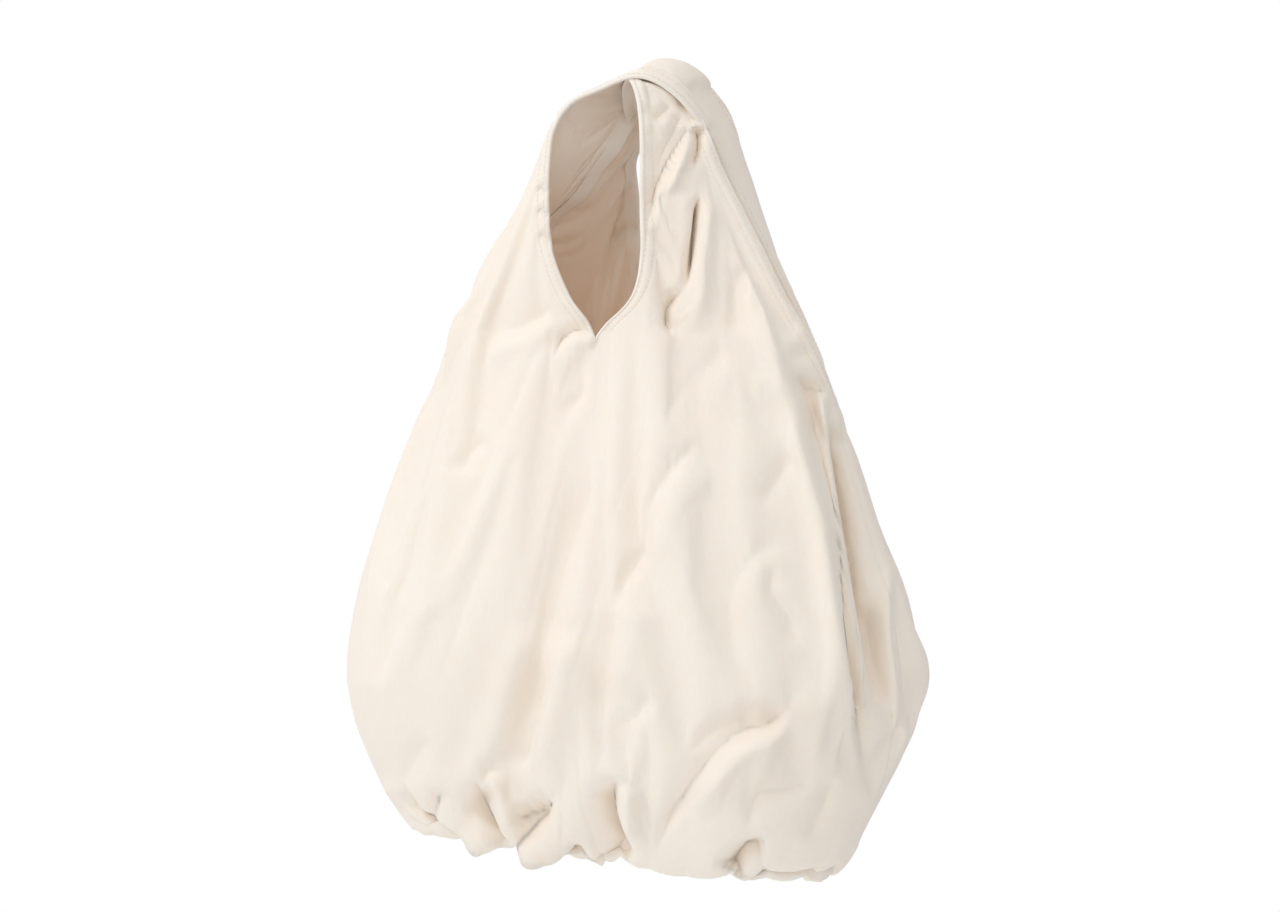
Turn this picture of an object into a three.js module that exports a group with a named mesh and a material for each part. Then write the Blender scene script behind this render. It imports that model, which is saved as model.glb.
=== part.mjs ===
// A cotton tote bag with a balloon body and one short wide handle, hanging by that handle.
// Two walls are gathered on to a small base. Each wall runs up into two legs, and the four legs
// cross in pairs at the top: the outer band lies over the inner band, and the two are the handle.
// Front is -Y, up is +Z, and the origin is on the underside of the handle, where it hangs.
import * as THREE from 'three';

// Driving dimensions in millimetres
const CLOTH = 1.4;
const HEM_CLOTH = 1.0;
const HEM_WIDTH = 9;
const GAP = 0.35;
const SEAM_GAP = 0.9;
const HANG_HEIGHT = 553;
const BASE_SAG = 6;
const BASE_TILT = 0.06;
const TILT_FADES_OUT_AT = 150;
const VIEW = THREE.MathUtils.degToRad(28);
const SECTION_SQUARENESS = 2.5;

// Cream cotton, a little lighter on the folded hems and darker where the base lies in shade
const COTTON = 0xf0e8db;
const HEM_COTTON = 0xf4eee2;
const BASE_COTTON = 0xe2d3bf;

// How finely the cloth is divided
const COLUMNS = 14;
const BASE_RINGS = 3;
const BODY_ROWS_PER_SECTION = 2;
const LEG_ROWS_PER_SECTION = 2;
const CROWN_ROWS_PER_SECTION = 2;

// The walls below the openings, from the base seam, round the balloon's lip and up:
// height over the lowest cloth, and how far the left, right, front and back stand out.
const BODY_COLUMNS = ['up', 'left', 'right', 'front', 'back'];
const BODY = [
  [33, 152, 140, 48, 42],
  [18, 158, 143, 54, 48],
  [14, 170, 151, 63, 56],
  [25, 183, 162, 72, 64],
  [46, 194, 173, 81, 73],
  [72, 203, 187, 91, 83],
  [99, 212, 200, 100, 93],
  [139, 219, 214, 107, 101],
  [195, 208, 208, 108, 103],
  [251, 189, 188, 100, 95],
  [307, 166, 165, 88, 84],
].map(named(BODY_COLUMNS));

// The legs above that, in plan: the edge at the mouth, the crest of the leg and the edge at its side.
const LEG_COLUMNS = ['up', 'mouthX', 'mouthY', 'crestX', 'crestY', 'sideX', 'sideY'];
const LEFT_FRONT = [
  [335, 3, -80, -116, -60, -153, 0],
  [379, 4, -68, -109, -54, -133, -8],
  [410, -18, -66, -98, -52, -113, -5],
  [440, -32, -64, -86, -49, -86, 4],
  [470, -39, -60, -71, -44, -55, 10],
  [500, -43, -54, -58, -36, -32, 12],
].map(named(LEG_COLUMNS));
const RIGHT_FRONT = [
  [335, 3, -80, 116, -60, 153, 0],
  [379, 4, -68, 110, -50, 129, -9],
  [410, 31, -66, 93, -45, 109, -10],
  [440, 37, -62, 76, -42, 90, -10],
  [470, 36, -60, 63, -39, 75, -11],
  [500, 33, -54, 53, -35, 62, -12],
].map(named(LEG_COLUMNS));
const RIGHT_BACK = [
  [335, 0, 76, 116, 57, 153, 0],
  [379, -2, 68, 111, 47, 122, 8],
  [410, 22, 68, 104, 42, 101, 9],
  [440, 38, 66, 91, 38, 83, 9],
  [470, 45, 62, 80, 36, 63, 8],
  [500, 48, 56, 70, 32, 49, 6],
].map(named(LEG_COLUMNS));
const LEFT_BACK = [
  [335, 0, 76, -116, 57, -153, 0],
  [379, -2, 68, -108, 50, -130, 9],
  [410, -26, 68, -94, 46, -106, 12],
  [440, -32, 66, -72, 44, -82, 14],
  [470, -30, 60, -60, 40, -62, 16],
  [500, -28, 54, -50, 36, -48, 16],
].map(named(LEG_COLUMNS));

// The bands over the crown, from the front leg to the back leg: edge, crest and edge, each in space.
const CROWN_COLUMNS = ['x1', 'y1', 'up1', 'x2', 'y2', 'up2', 'x3', 'y3', 'up3'];
const OUTER_CROWN = [
  [-43, -48, 526, -51, -28, 528, -19, 14, 516],
  [-31, -43, 550, -36, -22, 550, -12, 22, 534],
  [-9, -39, 563, -10, -10, 566, -4, 28, 547],
  [14, -34, 566, 20, -2, 578, 14, 34, 556],
  [35, -18, 558, 45, 12, 571, 34, 44, 553],
  [41, -6, 532, 60, 24, 543, 46, 52, 532],
].map(named(CROWN_COLUMNS));
const INNER_CROWN = [
  [25, -45, 528, 43, -33, 524, 54, -16, 524],
  [12, -37, 549, 30, -30, 549, 44, -23, 541],
  [3, -30, 553, 19, -20, 556, 32, -15, 550],
  [-6, -14, 552, 7, -3, 557, 20, 9, 551],
  [-9, 9, 536, 3, 21, 543, 12, 31, 540],
  [-13, 27, 518, -13, 38, 526, -5, 46, 527],
].map(named(CROWN_COLUMNS));

// Folds of the cloth, drawn as seen from the view direction: across and up at both ends, how wide
// and how deep (minus sinks), how far it leans to one side, and how far its line bows.
const FOLD_COLUMNS = ['x1', 'up1', 'x2', 'up2', 'width', 'depth', 'lean', 'bow'];
const FRONT_FOLDS = [
  [-36, 268, -92, 116, 17, -9, 0.6, 8],
  [-66, 236, -84, 88, 20, 6, 0, 5],
  [44, 303, -4, 240, 13, -6, 0.8, -6],
  [-4, 240, -22, 108, 14, -7, 0.7, 0],
  [-58, 404, -110, 372, 12, -6, -0.6, 6],
  [-56, 371, -38, 378, 7, -5, 0.5, 3],
  [-110, 235, -176, 140, 18, -5, 0.4, 10],
  [112, 236, 74, 158, 15, -7, 0.6, -14],
  [98, 112, 14, 24, 16, -6, 0.6, -8],
  [30, 404, 22, 384, 9, -8, 0.4, 0],
  [45, 470, 28, 398, 9, -6, 0.6, 0],
  [36, 528, 8, 450, 10, 5, 0, 3],
  [120, 330, 150, 185, 14, -6, 0.4, 4],
].map(named(FOLD_COLUMNS));
const BACK_FOLDS = [
  [20, 330, 60, 130, 18, -8, 0.6, 8],
  [-40, 300, -70, 120, 17, -7, -0.6, -8],
  [100, 280, 130, 120, 16, -6, 0.5, 8],
  [-110, 260, -150, 130, 16, -6, 0.5, -8],
  [-10, 370, -20, 260, 12, -5, 0.5, 0],
].map(named(FOLD_COLUMNS));

// Gathers along the base: how many on each wall, how deep, and how high they fade out
const GATHERS_PER_WALL = 9;
const GATHER_DEPTH = 8;
const GATHER_FADE = 52;
const GATHER_ROUNDNESS = 0.8;
const GATHER_SHARE_OUTSIDE = 0.55;
const GATHER_STRAY = { outer: 0.3, inner: -0.2 };
const GATHER_SECTIONS = { from: 0.1, full: 2.6 };

// How a fold fades at its two ends, in widths, and how far the cloth must face the view to have it
const FOLD_FADE = { start: 3, end: 4 };
const FOLD_LEAN = 1.6;
const FOLD_FACING = { from: 0.05, full: 0.45 };

const BODY_SECTIONS = BODY.length;
const ARMHOLE_SECTION = BODY_SECTIONS;
const MOUTH_SECTION = BODY_SECTIONS + 1;
const LEG_TOP = BODY_SECTIONS + LEFT_FRONT.length - 1;

function named(columns) {
  return (row) => Object.fromEntries(columns.map((column, i) => [column, row[i]]));
}

// Where the superellipse quarter between two edges has its corner, from the crest that it runs through
function cornerFrom(edge1, crest, edge2) {
  const c = 0.5 ** (1 / SECTION_SQUARENESS);
  const ends = edge1.clone().add(edge2).multiplyScalar(1 - c);
  return crest.clone().sub(ends).divideScalar(2 * c - 1);
}

function bodySection(row, toRight, toBack) {
  const depth = toBack ? row.back : -row.front;
  const side = toRight ? row.right : -row.left;
  return {
    mouth: new THREE.Vector3(3, depth, row.up),
    corner: new THREE.Vector3(side, depth, row.up),
    side: new THREE.Vector3(side, 0, row.up),
  };
}

function legSection(row) {
  const mouth = new THREE.Vector3(row.mouthX, row.mouthY, row.up);
  const crest = new THREE.Vector3(row.crestX, row.crestY, row.up);
  const side = new THREE.Vector3(row.sideX, row.sideY, row.up);
  return { mouth, corner: cornerFrom(mouth, crest, side), side };
}

function quarter(legRows, toRight, toBack) {
  return BODY.map((row) => bodySection(row, toRight, toBack)).concat(legRows.map(legSection));
}

// One band, from the base up the front leg, over the crown and down the back leg to the base.
// Its first edge is at the front mouth and its second edge at the side opening; behind the crown
// the first edge is at the other side opening and the second at the back mouth.
function bandSections(frontQuarter, crown, backQuarter) {
  const over = crown.map((row) => {
    const edge1 = new THREE.Vector3(row.x1, row.y1, row.up1);
    const crest = new THREE.Vector3(row.x2, row.y2, row.up2);
    const edge2 = new THREE.Vector3(row.x3, row.y3, row.up3);
    return { edge1, corner: cornerFrom(edge1, crest, edge2), edge2 };
  });
  const front = frontQuarter.map((s) => ({ edge1: s.mouth, corner: s.corner, edge2: s.side }));
  const back = backQuarter.map((s) => ({ edge1: s.side, corner: s.corner, edge2: s.mouth }));
  return [...front, ...over, ...back.reverse()];
}

const OUTER = bandSections(
  quarter(LEFT_FRONT, false, false), OUTER_CROWN, quarter(RIGHT_BACK, true, true));
const INNER = bandSections(
  quarter(RIGHT_FRONT, true, false), INNER_CROWN, quarter(LEFT_BACK, false, true));

// A smooth curve through one named point of all sections, at section number v
function along(sections, key, v) {
  const last = sections.length - 1;
  const i = Math.min(Math.max(Math.floor(v), 0), last - 1);
  const t = v - i;
  const at = (k) => sections[Math.min(Math.max(k, 0), last)][key];
  const [p0, p1, p2, p3] = [at(i - 1), at(i), at(i + 1), at(i + 2)];
  const point = new THREE.Vector3();
  for (const axis of ['x', 'y', 'z']) {
    const start = (p2[axis] - p0[axis]) / 2;
    const end = (p3[axis] - p1[axis]) / 2;
    const rise = p2[axis] - p1[axis];
    point[axis] = p1[axis] + t * (start + t * (3 * rise - 2 * start - end + t * (start + end - 2 * rise)));
  }
  return point;
}

// An edge of a band at section v. Below an opening it runs halfway to the edge of the band beside,
// so that two legs share one line there.
function edgeOf(band, v, key) {
  const own = along(band, key, v);
  const last = band.length - 1;
  const front = v < last / 2;
  const fromBase = front ? v : last - v;
  const atMouth = front === (key === 'edge1');
  if (fromBase > (atMouth ? MOUTH_SECTION : ARMHOLE_SECTION)) return own;
  const other = band === OUTER ? INNER : OUTER;
  const fromOtherEnd = other.length - 1 - fromBase;
  const otherKey = key === 'edge1' ? 'edge2' : 'edge1';
  const beside = atMouth
    ? along(other, key, front ? v : fromOtherEnd)
    : along(other, otherKey, front ? fromOtherEnd : fromBase);
  return own.add(beside).multiplyScalar(0.5);
}

// A point of the smooth cloth: section number v along the band, s from the first edge to the second
function smoothCloth(band, v, s) {
  const edge1 = edgeOf(band, v, 'edge1');
  const edge2 = edgeOf(band, v, 'edge2');
  const corner = along(band, 'corner', v);
  const tilt = BASE_TILT * (1 - THREE.MathUtils.smoothstep(corner.z, 0, TILT_FADES_OUT_AT));
  const power = 2 / SECTION_SQUARENESS;
  const towards1 = 1 - Math.sin(s * Math.PI / 2) ** power;
  const towards2 = 1 - Math.cos(s * Math.PI / 2) ** power;
  const point = corner.clone()
    .addScaledVector(edge1.sub(corner), towards1)
    .addScaledVector(edge2.sub(corner), towards2);
  point.z -= tilt * point.x;
  return point;
}

function foldHeight(folds, across, up) {
  let height = 0;
  for (const fold of folds) {
    const dx = fold.x2 - fold.x1;
    const dUp = fold.up2 - fold.up1;
    const length = Math.hypot(dx, dUp);
    const t = ((across - fold.x1) * dx + (up - fold.up1) * dUp) / length ** 2;
    const reach = fold.width / length;
    const bow = fold.bow * 4 * t * (1 - t);
    const q = (((up - fold.up1) * dx - (across - fold.x1) * dUp) / length - bow) / fold.width;
    const ends = THREE.MathUtils.smoothstep(t, -reach, FOLD_FADE.start * reach)
      * (1 - THREE.MathUtils.smoothstep(t, 1 - FOLD_FADE.end * reach, 1 + reach));
    height += fold.depth * ends * Math.exp(-q * q) * (1 + FOLD_LEAN * fold.lean * q);
  }
  return height;
}

// Round billows with narrow creases between them, strongest just over the base
function gatherHeight(band, v, s, up) {
  const last = band.length - 1;
  const fromBase = Math.min(v, last - v);
  if (fromBase > LEG_TOP) return 0;
  const rise = THREE.MathUtils.smoothstep(fromBase, GATHER_SECTIONS.from, GATHER_SECTIONS.full);
  const fade = rise * Math.exp(-Math.max(up, 0) / GATHER_FADE);
  const around = v < last / 2 ? s : 1 + s;
  const stray = band === OUTER ? GATHER_STRAY.outer : GATHER_STRAY.inner;
  const phase = (around * GATHERS_PER_WALL) / 2 + stray * Math.sin(2 * Math.PI * around);
  const billow = Math.abs(Math.cos(phase * Math.PI)) ** GATHER_ROUNDNESS;
  return GATHER_DEPTH * fade * (billow - GATHER_SHARE_OUTSIDE);
}

// The direction out of the cloth. The two bands' edges run in opposite orders, so one is turned.
function outward(band, v, s) {
  const step = 0.02;
  const last = band.length - 1;
  const ahead = smoothCloth(band, Math.min(v + step, last), s);
  const behind = smoothCloth(band, Math.max(v - step, 0), s);
  const near = smoothCloth(band, v, Math.max(s - step, 0));
  const far = smoothCloth(band, v, Math.min(s + step, 1));
  const direction = far.sub(near).cross(ahead.sub(behind)).normalize();
  return band === OUTER ? direction.negate() : direction;
}

function cloth(band, v, s) {
  const point = smoothCloth(band, v, s);
  const normal = outward(band, v, s);
  const across = point.x * Math.cos(VIEW) + point.y * Math.sin(VIEW);
  const facing = normal.y * Math.cos(VIEW) - normal.x * Math.sin(VIEW);
  const folds = facing < 0 ? FRONT_FOLDS : BACK_FOLDS;
  const firm = THREE.MathUtils.smoothstep(Math.abs(facing), FOLD_FACING.from, FOLD_FACING.full);
  const height = firm * foldHeight(folds, across, point.z) + gatherHeight(band, v, s, point.z);
  return point.addScaledVector(normal, height);
}

// Section numbers of the rows of cloth from one section to another
function rowsBetween(from, to, perSection) {
  const count = Math.round((to - from) * perSection);
  return Array.from({ length: count + 1 }, (_, i) => from + ((to - from) * i) / count);
}

// A row of cloth between two edges, whose first and last strips are as wide as a hem
function rowOfCloth(band, v) {
  let length = 0;
  const steps = 24;
  let before = smoothCloth(band, v, 0);
  for (let i = 1; i <= steps; i++) {
    const point = smoothCloth(band, v, i / steps);
    length += point.distanceTo(before);
    before = point;
  }
  const hem = Math.min(HEM_WIDTH / length, 0.3);
  const row = [];
  for (let j = 0; j <= COLUMNS; j++) {
    const middle = hem + ((1 - 2 * hem) * (j - 1)) / (COLUMNS - 2);
    const s = j === 0 ? 0 : j === COLUMNS ? 1 : middle;
    row.push(cloth(band, v, s));
  }
  return row;
}

// A sheet is a list of points and of four-sided faces, seen from outside
class Sheet {
  constructor() {
    this.points = [];
    this.faces = [];
  }

  addRows(rows) {
    const ids = rows.map((row) => row.map((point) => this.idOf(point)));
    for (let i = 0; i + 1 < ids.length; i++) {
      for (let j = 0; j + 1 < ids[i].length; j++) {
        this.faces.push([ids[i][j], ids[i][j + 1], ids[i + 1][j + 1], ids[i + 1][j]]);
      }
    }
    return ids;
  }

  idOf(point) {
    const found = this.points.findIndex((p) => p.distanceTo(point) < 0.01);
    if (found >= 0) return found;
    return this.points.push(point.clone()) - 1;
  }

  triangles() {
    const halves = this.faces.flatMap(([a, b, c, d]) => [[a, b, c], [a, c, d]]);
    return halves.filter(([a, b, c]) => a !== b && b !== c && c !== a);
  }

  normals() {
    const sums = this.points.map(() => new THREE.Vector3());
    for (const [a, b, c] of this.triangles()) {
      const ab = this.points[b].clone().sub(this.points[a]);
      const ac = this.points[c].clone().sub(this.points[a]);
      const normal = ab.cross(ac);
      for (const id of [a, b, c]) sums[id].add(normal);
    }
    return sums.map((sum) => sum.normalize());
  }

  // A closed wall with the sheet in its middle
  wall(thickness) {
    const normals = this.normals();
    const count = this.points.length;
    const shift = (distance) =>
      this.points.map((p, i) => p.clone().addScaledVector(normals[i], distance));
    const points = [...shift(thickness / 2), ...shift(-thickness / 2)];
    const triangles = this.triangles();
    const index = triangles.flat();
    for (const [a, b, c] of triangles) index.push(a + count, c + count, b + count);
    const sides = triangles.flatMap(([a, b, c]) => [[a, b], [b, c], [c, a]]);
    const edges = new Set(sides.map((side) => side.join()));
    for (const edge of edges) {
      const [a, b] = edge.split(',').map(Number);
      if (edges.has(`${b},${a}`)) continue;
      index.push(b, a, a + count, b, a + count, b + count);
    }
    const geometry = new THREE.BufferGeometry();
    const coordinates = points.flatMap((p) => p.toArray());
    geometry.setAttribute('position', new THREE.Float32BufferAttribute(coordinates, 3));
    geometry.setIndex(index);
    geometry.computeVertexNormals();
    return geometry;
  }
}

// Moves a seam's line of points back by half of its gap, towards the line beside it
function pullBack(line, beside) {
  line.forEach((point, i) => {
    const towards = beside[i].clone().sub(point).normalize();
    point.addScaledVector(towards, SEAM_GAP / 2);
  });
}

function pullBackRow(rows, seam, beside) {
  pullBack(rows[seam], rows[beside]);
}

function pullBackColumn(rows, seam, beside, upTo) {
  const below = rows.slice(0, upTo + 1);
  pullBack(below.map((row) => row.at(seam)), below.map((row) => row.at(beside)));
}

const bodyRows = rowsBetween(0, MOUTH_SECTION, BODY_ROWS_PER_SECTION);
const legRows = rowsBetween(MOUTH_SECTION, LEG_TOP, LEG_ROWS_PER_SECTION);
const armholeRow = ARMHOLE_SECTION * BODY_ROWS_PER_SECTION;

// One wall: the leg seen on the left from outside, the leg on the right, and the body under both
function wallSheet(front) {
  const rowAt = (band, v) => rowOfCloth(band, front ? v : band.length - 1 - v);
  const rows = [...bodyRows, ...legRows.slice(1)];
  const outerRows = rows.map((v) => rowAt(OUTER, v));
  const innerRows = rows.map((v) => rowAt(INNER, v));
  (front ? outerRows : innerRows).forEach((row) => row.reverse());
  bodyRows.forEach((_, i) => {
    const middle = outerRows[i].at(-1).clone().add(innerRows[i][0]).multiplyScalar(0.5);
    outerRows[i].at(-1).copy(middle);
    innerRows[i][0].copy(middle);
  });
  pullBackColumn(outerRows, 0, 1, armholeRow);
  pullBackColumn(innerRows, -1, -2, armholeRow);
  for (const leg of [outerRows, innerRows]) {
    pullBackRow(leg, 0, 1);
    pullBackRow(leg, leg.length - 1, leg.length - 2);
  }
  const sheet = new Sheet();
  return { sheet, outer: sheet.addRows(outerRows), inner: sheet.addRows(innerRows) };
}

// One band over the crown, between the tops of its two legs
function crownSheet(band) {
  const rows = rowsBetween(LEG_TOP, band.length - 1 - LEG_TOP, CROWN_ROWS_PER_SECTION)
    .map((v) => rowOfCloth(band, v));
  if (band === OUTER) rows.forEach((row) => row.reverse());
  pullBackRow(rows, 0, 1);
  pullBackRow(rows, rows.length - 1, rows.length - 2);
  const sheet = new Sheet();
  return { sheet, rows: sheet.addRows(rows) };
}

// A folded hem: a strip inside the cloth along one edge of a band, up the front leg, over the
// crown and down the back leg. Each stretch gives its sheet, its rows and the edge's column.
function hemSheet(stretches) {
  const inset = CLOTH / 2 + GAP + HEM_CLOTH / 2;
  const pairs = stretches.flatMap(({ sheet, rows, edge }) => {
    const beside = edge === 0 ? 1 : -2;
    const normals = sheet.normals();
    const inside = (id) => sheet.points[id].clone().addScaledVector(normals[id], -inset);
    return rows.map((row) => [inside(row.at(edge)), inside(row.at(beside))]);
  });
  for (const [edge, beside] of [pairs[0], pairs.at(-1)]) {
    edge.addScaledVector(beside.clone().sub(edge).normalize(), 3 * GAP);
  }
  const strip = new Sheet();
  const reversed = stretches[0].edge === -1;
  strip.addRows(reversed ? pairs.map((pair) => pair.reverse()) : pairs);
  return strip;
}

function bandHem(front, crown, back, edges, frontStart, backStart) {
  const [frontEdge, crownEdge, backEdge] = edges;
  return hemSheet([
    { sheet: front.sheet, rows: front.rows.slice(frontStart), edge: frontEdge },
    { sheet: crown.sheet, rows: crown.rows.slice(1, -1), edge: crownEdge },
    { sheet: back.sheet, rows: back.rows.slice(backStart).reverse(), edge: backEdge },
  ]);
}

// The base: rings from the walls' lower edge to the middle, hanging a little lower there
function baseSheet() {
  const quarters = [
    rowOfCloth(OUTER, 0).reverse(),
    rowOfCloth(INNER, 0),
    rowOfCloth(OUTER, OUTER.length - 1),
    rowOfCloth(INNER, INNER.length - 1).reverse(),
  ];
  const loop = quarters.flatMap((row) => row.slice(0, -1));
  const middle = loop.reduce((sum, p) => sum.add(p), new THREE.Vector3()).divideScalar(loop.length);
  const inset = CLOTH / 2 + 2 * GAP;
  const rings = Array.from({ length: BASE_RINGS + 1 }, (_, i) => {
    const r = i / BASE_RINGS;
    return loop.map((p) => {
      const reach = p.clone().sub(middle);
      const length = reach.length();
      const point = middle.clone().addScaledVector(reach, ((length - inset) / length) * r);
      point.z -= BASE_SAG * (1 - r * r);
      return point;
    });
  });
  const closed = rings.map((ring) => [...ring, ring[0]]);
  const sheet = new Sheet();
  sheet.addRows(closed.reverse());
  return sheet;
}

function material(color) {
  return new THREE.MeshStandardMaterial({ color, roughness: 0.9, metalness: 0, side: THREE.DoubleSide });
}

const group = new THREE.Group();
group.position.z = -HANG_HEIGHT;

function addPiece(name, geometry, color) {
  const mesh = new THREE.Mesh(geometry, material(color));
  mesh.name = name;
  group.add(mesh);
}

const front = wallSheet(true);
const back = wallSheet(false);
const outerCrown = crownSheet(OUTER);
const innerCrown = crownSheet(INNER);
addPiece('front_panel', front.sheet.wall(CLOTH), COTTON);
addPiece('back_panel', back.sheet.wall(CLOTH), COTTON);
addPiece('base_panel', baseSheet().wall(CLOTH), BASE_COTTON);
addPiece('outer_handle_band', outerCrown.sheet.wall(CLOTH), COTTON);
addPiece('inner_handle_band', innerCrown.sheet.wall(CLOTH), COTTON);

const mouthRow = bodyRows.length - 1;
const outerFront = { sheet: front.sheet, rows: front.outer };
const outerBack = { sheet: back.sheet, rows: back.outer };
const innerFront = { sheet: front.sheet, rows: front.inner };
const innerBack = { sheet: back.sheet, rows: back.inner };
const hems = {
  outer_band_front_hem: bandHem(outerFront, outerCrown, outerBack, [-1, -1, 0], mouthRow, armholeRow),
  outer_band_back_hem: bandHem(outerFront, outerCrown, outerBack, [0, 0, -1], armholeRow, mouthRow),
  inner_band_front_hem: bandHem(innerFront, innerCrown, innerBack, [0, 0, -1], mouthRow, armholeRow),
  inner_band_back_hem: bandHem(innerFront, innerCrown, innerBack, [-1, -1, 0], armholeRow, mouthRow),
};
for (const [name, sheet] of Object.entries(hems)) addPiece(name, sheet.wall(HEM_CLOTH), HEM_COTTON);

export default group;
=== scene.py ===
import math

import bpy
import numpy as np
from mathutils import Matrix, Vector


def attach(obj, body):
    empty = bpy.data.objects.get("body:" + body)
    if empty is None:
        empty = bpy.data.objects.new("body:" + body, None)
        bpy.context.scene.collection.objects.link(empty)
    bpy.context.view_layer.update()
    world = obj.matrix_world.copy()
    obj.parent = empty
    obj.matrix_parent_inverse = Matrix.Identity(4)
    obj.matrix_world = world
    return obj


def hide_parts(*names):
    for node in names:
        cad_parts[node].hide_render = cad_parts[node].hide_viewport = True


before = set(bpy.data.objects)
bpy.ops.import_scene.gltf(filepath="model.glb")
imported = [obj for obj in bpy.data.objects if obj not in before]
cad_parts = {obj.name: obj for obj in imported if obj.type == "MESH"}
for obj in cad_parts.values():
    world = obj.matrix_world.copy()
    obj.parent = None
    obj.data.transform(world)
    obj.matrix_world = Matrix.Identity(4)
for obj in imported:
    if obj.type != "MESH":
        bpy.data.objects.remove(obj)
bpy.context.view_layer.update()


# Front panel: the front wall of the bag with its two legs, one piece of cream cotton. It is
# gathered on to the base, hangs as a balloon and narrows into the legs, which become the handle.
# All the cloth of the bag is drawn here as cross sections, folded and settled, in millimetres.
MM = 0.001
HANG_HEIGHT = 553
CLOTH = 1.4
SQUARENESS = 2.5
MIDDLE = 3
BASE_TILT = 0.06
TILT_FADES_OUT_AT = 150
TINY = 1e-9


def table(columns, *rows):
    """Rows of numbers under named columns, as one array for each column."""
    return dict(zip(columns.split(), np.array(rows, float).T))


# Below the openings: height over the lowest cloth, and how far each side stands out
body = table(
    "up left right front back",
    (33, 152, 140, 48, 42),
    (18, 158, 143, 54, 48),
    (14, 174, 151, 63, 56),
    (25, 189, 162, 72, 64),
    (46, 200, 173, 81, 73),
    (72, 211, 187, 91, 83),
    (99, 219, 200, 100, 93),
    (139, 222, 215, 107, 101),
    (195, 210, 208, 108, 103),
    (251, 193, 188, 100, 95),
    (307, 172, 168, 88, 84),
)
# The legs: edge at the mouth, crest and edge at the side opening, in plan at each height
leg_columns = "up mouth_x mouth_y crest_x crest_y side_x side_y"
left_front_leg = table(
    leg_columns,
    (335, 3, -80, -116, -60, -153, 0),
    (379, 4, -68, -112, -54, -135, -8),
    (410, -18, -66, -100, -52, -115, -5),
    (440, -32, -64, -86, -49, -86, 4),
    (470, -37, -60, -68, -44, -55, 10),
    (500, -39, -54, -54, -36, -32, 12),
)
right_front_leg = table(
    leg_columns,
    (335, 3, -80, 117, -60, 156, 0),
    (379, 4, -68, 113, -50, 138, -9),
    (410, 31, -66, 96, -46, 119, -10),
    (440, 37, -62, 81, -43, 104, -10),
    (470, 36, -60, 69, -41, 88, -11),
    (500, 33, -54, 59, -37, 72, -12),
)
right_back_leg = table(
    leg_columns,
    (335, 0, 76, 117, 57, 156, 0),
    (379, -2, 68, 111, 47, 122, 8),
    (410, 22, 68, 105, 42, 104, 9),
    (440, 38, 66, 93, 38, 89, 8),
    (470, 45, 62, 82, 36, 76, 4),
    (500, 48, 56, 72, 32, 64, 0),
)
left_back_leg = table(
    leg_columns,
    (335, 0, 76, -116, 57, -153, 0),
    (379, -2, 68, -108, 50, -130, 9),
    (410, -26, 68, -94, 46, -106, 12),
    (440, -32, 66, -76, 44, -92, 14),
    (470, -30, 60, -60, 40, -62, 16),
    (500, -28, 54, -48, 38, -42, 18),
)
ARMHOLE = len(body["up"])
MOUTH = ARMHOLE + 1
LEG_TOP = ARMHOLE + len(left_front_leg["up"]) - 1


def corner_from(edge1, crest, edge2):
    """The corner of the rounded quarter that runs from one edge over a crest to the other."""
    c = 0.5 ** (1 / SQUARENESS)
    return (crest - (1 - c) * (edge1 + edge2)) / (2 * c - 1)


def quarter(leg, side_sign, front):
    """Mouth line, corner line and side line of one leg with its part of the wall below."""
    up = body["up"]
    side = body["right"] if side_sign > 0 else -body["left"]
    depth = -body["front"] if front else body["back"]
    leg_mouth, leg_crest, leg_side = (
        np.stack([leg[line + "_x"], leg[line + "_y"], leg["up"]], 1) for line in ("mouth", "crest", "side")
    )
    return {
        "mouth": np.vstack([np.stack([0 * up + MIDDLE, depth, up], 1), leg_mouth]),
        "corner": np.vstack([
            np.stack([side, depth, up], 1), corner_from(leg_mouth, leg_crest, leg_side),
        ]),
        "side": np.vstack([np.stack([side, 0 * up, up], 1), leg_side]),
    }


def smooth_line(points, v):
    """A smooth line through points, read at the point numbers v."""
    last = len(points) - 1
    i = np.clip(np.floor(v).astype(int), 0, last - 1)
    t = (v - i)[:, None]
    p0, p1, p2, p3 = (points[np.clip(i + k, 0, last)] for k in (-1, 0, 1, 2))
    start, end, rise = (p2 - p0) / 2, (p3 - p1) / 2, p2 - p1
    return p1 + t * (start + t * (3 * rise - 2 * start - end + t * (start + end - 2 * rise)))


def smoothstep(x, low, high):
    t = np.clip((x - low) / (high - low), 0, 1)
    return t * t * (3 - 2 * t)


def unit(vectors):
    return vectors / np.maximum(np.linalg.norm(vectors, axis=-1, keepdims=True), TINY)


def run_along(points):
    """The distance of each point of a line from its first point, along the line."""
    return np.concatenate([[0], np.cumsum(np.linalg.norm(np.diff(points, axis=0), axis=1))])


def rounded(edge1, corner, edge2, s):
    """Points of the rounded quarter between two edges, s from 0 to 1."""
    power = 2 / SQUARENESS
    towards1 = (1 - np.sin(s * math.pi / 2) ** power)[..., None]
    towards2 = (1 - np.cos(s * math.pi / 2) ** power)[..., None]
    points = corner[:, None] + (edge1 - corner)[:, None] * towards1
    points = points + (edge2 - corner)[:, None] * towards2
    tilt = BASE_TILT * (1 - smoothstep(corner[:, None, 2], 0, TILT_FADES_OUT_AT))
    points[..., 2] -= tilt * points[..., 0]
    return points


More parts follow.
